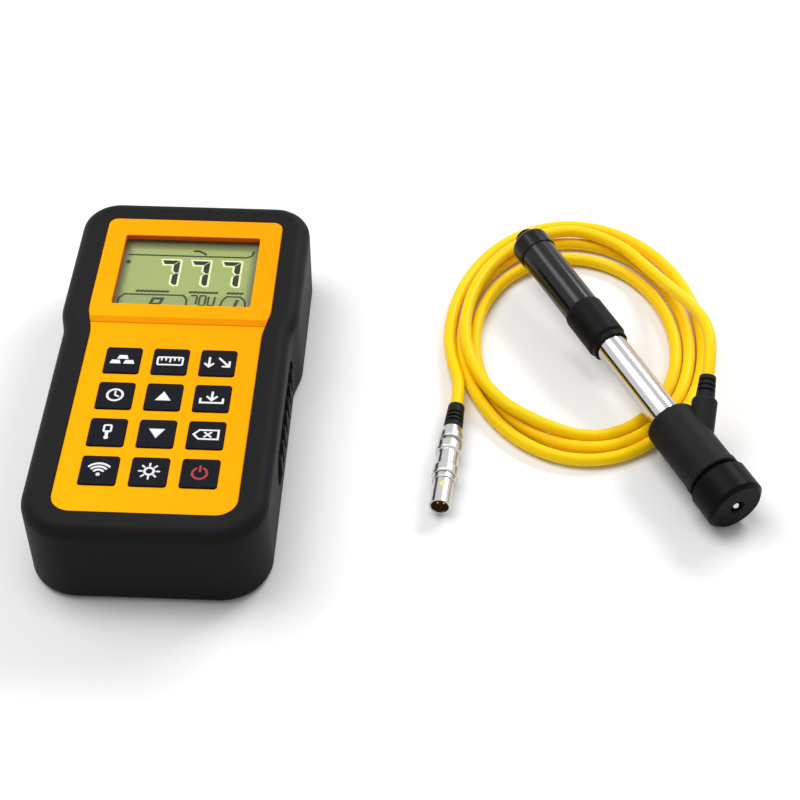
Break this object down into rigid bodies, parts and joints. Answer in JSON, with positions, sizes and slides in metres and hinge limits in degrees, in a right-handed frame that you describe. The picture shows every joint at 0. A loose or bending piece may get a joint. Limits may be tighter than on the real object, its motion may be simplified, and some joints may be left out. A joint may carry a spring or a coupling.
{
  "type": "leeb hardness tester",
  "caption": "Hand-held rebound hardness tester: display unit in a rubber boot, with an impact device on a coiled yellow lead that ends in a round plug.",
  "frame": {"origin": "middle of the boot's back face, on the surface that the instrument lies on", "axes": "+X across the display unit towards the impact device, +Y towards the display end, +Z out of the keypad"},
  "size_m": [0.2439, 0.1942, 0.034],
  "materials": {
    "boot_rubber": "matte black moulded rubber",
    "face_orange": "satin yellow orange moulded plastic",
    "case_black": "textured black plastic",
    "key_rubber": "matte blue black silicone with white legends",
    "window_clear": "clear window",
    "lcd_glass": "grey green liquid crystal panel",
    "light_guide": "pale light guide",
    "board_green": "green solder mask",
    "steel": "bright steel",
    "spring_steel": "spring steel",
    "cell_jacket": "plain cell jacket",
    "tube_chrome": "polished steel",
    "housing_grey": "matte dark grey moulding",
    "ring_black": "black oxide steel",
    "grip_black": "matte black anodised",
    "sleeve_gloss": "polished black anodised",
    "cap_gloss": "glossy black",
    "relief_rubber": "matte black rubber",
    "lead_yellow": "smooth yellow cable sheath",
    "plug_chrome": "satin chrome plating",
    "insert_plastic": "brown insulating plastic",
    "contact_gold": "gold plated contacts",
    "copper": "enamelled copper winding",
    "magnet": "magnet",
    "ball_carbide": "polished carbide ball"
  },
  "bodies": {
    "tester": {"rubber_boot": "boot_rubber", "front_cover": "face_orange", "rear_cover": "case_black", "battery_door": "case_black", "door_screw": "steel", "battery_cells": "cell_jacket", "battery_contacts": "spring_steel", "case_screws": "steel", "board_screws": "steel", "main_board": "board_green", "key_mat": "key_rubber", "display_window": "window_clear", "lcd_panel": "lcd_glass", "lcd_backlight": "light_guide", "probe_socket": "plug_chrome", "probe_socket_insert": "insert_plastic", "probe_socket_nut": "plug_chrome", "data_socket": "steel", "support_ring": "ring_black", "guide_tube": "tube_chrome", "coil_housing": "housing_grey", "coil_bobbin": "insert_plastic", "coil_winding": "copper", "lead_outlet": "relief_rubber", "loading_spring": "spring_steel", "impact_spring": "spring_steel", "lead_start": "lead_yellow", "lead_coil": "lead_yellow", "lead_end": "lead_yellow", "plug_shell": "plug_chrome", "plug_nut": "plug_chrome", "plug_insert": "insert_plastic", "plug_pins": "contact_gold", "plug_relief": "relief_rubber"},
    "loading_sleeve": {"grip_ring": "grip_black", "load_sleeve": "sleeve_gloss", "sleeve_cap": "cap_gloss", "catch_chuck": "steel"},
    "release_button": {"release_button": "cap_gloss"},
    "impact_body": {"impact_body": "steel", "body_magnet": "magnet", "ball_holder": "steel", "test_ball": "ball_carbide"},
    "plug_latch": {"plug_latch_sleeve": "plug_chrome"},
    "key_material": {"key_material": "key_rubber"},
    "key_scale": {"key_scale": "key_rubber"},
    "key_direction": {"key_direction": "key_rubber"},
    "key_time": {"key_time": "key_rubber"},
    "key_up": {"key_up": "key_rubber"},
    "key_memory": {"key_memory": "key_rubber"},
    "key_probe": {"key_probe": "key_rubber"},
    "key_down": {"key_down": "key_rubber"},
    "key_delete": {"key_delete": "key_rubber"},
    "key_wireless": {"key_wireless": "key_rubber"},
    "key_light": {"key_light": "key_rubber"},
    "key_power": {"key_power": "key_rubber"}
  },
  "joints": [
    {"name": "sleeve_slide", "type": "slide", "parent": "tester", "child": "loading_sleeve", "axis": [0.4828, -0.8746, -0.045], "range_m": [0, 0.03], "stiffness_N_per_m": 200, "springref_m": -0.015, "deforming": ["loading_spring"]},
    {"name": "button_press", "type": "slide", "parent": "loading_sleeve", "child": "release_button", "axis": [0.4828, -0.8746, -0.045], "range_m": [0, 0.003], "stiffness_N_per_m": 400, "springref_m": -0.002},
    {"name": "impact_body_slide", "type": "slide", "parent": "tester", "child": "impact_body", "axis": [-0.4828, 0.8746, 0.045], "range_m": [0, 0.0025]},
    {"name": "plug_latch_slide", "type": "slide", "parent": "tester", "child": "plug_latch", "axis": [0.0976, 0.9952, 0], "range_m": [0, 0.0015], "stiffness_N_per_m": 800, "springref_m": -0.001},
    {"name": "key_material_press", "type": "slide", "parent": "tester", "child": "key_material", "axis": [0, 0, -1], "range_m": [0, 0.0008], "stiffness_N_per_m": 300, "springref_m": -0.001},
    {"name": "key_scale_press", "type": "slide", "parent": "tester", "child": "key_scale", "axis": [0, 0, -1], "range_m": [0, 0.0008], "stiffness_N_per_m": 300, "springref_m": -0.001},
    {"name": "key_direction_press", "type": "slide", "parent": "tester", "child": "key_direction", "axis": [0, 0, -1], "range_m": [0, 0.0008], "stiffness_N_per_m": 300, "springref_m": -0.001},
    {"name": "key_time_press", "type": "slide", "parent": "tester", "child": "key_time", "axis": [0, 0, -1], "range_m": [0, 0.0008], "stiffness_N_per_m": 300, "springref_m": -0.001},
    {"name": "key_up_press", "type": "slide", "parent": "tester", "child": "key_up", "axis": [0, 0, -1], "range_m": [0, 0.0008], "stiffness_N_per_m": 300, "springref_m": -0.001},
    {"name": "key_memory_press", "type": "slide", "parent": "tester", "child": "key_memory", "axis": [0, 0, -1], "range_m": [0, 0.0008], "stiffness_N_per_m": 300, "springref_m": -0.001},
    {"name": "key_probe_press", "type": "slide", "parent": "tester", "child": "key_probe", "axis": [0, 0, -1], "range_m": [0, 0.0008], "stiffness_N_per_m": 300, "springref_m": -0.001},
    {"name": "key_down_press", "type": "slide", "parent": "tester", "child": "key_down", "axis": [0, 0, -1], "range_m": [0, 0.0008], "stiffness_N_per_m": 300, "springref_m": -0.001},
    {"name": "key_delete_press", "type": "slide", "parent": "tester", "child": "key_delete", "axis": [0, 0, -1], "range_m": [0, 0.0008], "stiffness_N_per_m": 300, "springref_m": -0.001},
    {"name": "key_wireless_press", "type": "slide", "parent": "tester", "child": "key_wireless", "axis": [0, 0, -1], "range_m": [0, 0.0008], "stiffness_N_per_m": 300, "springref_m": -0.001},
    {"name": "key_light_press", "type": "slide", "parent": "tester", "child": "key_light", "axis": [0, 0, -1], "range_m": [0, 0.0008], "stiffness_N_per_m": 300, "springref_m": -0.001},
    {"name": "key_power_press", "type": "slide", "parent": "tester", "child": "key_power", "axis": [0, 0, -1], "range_m": [0, 0.0008], "stiffness_N_per_m": 300, "springref_m": -0.001}
  ]
}
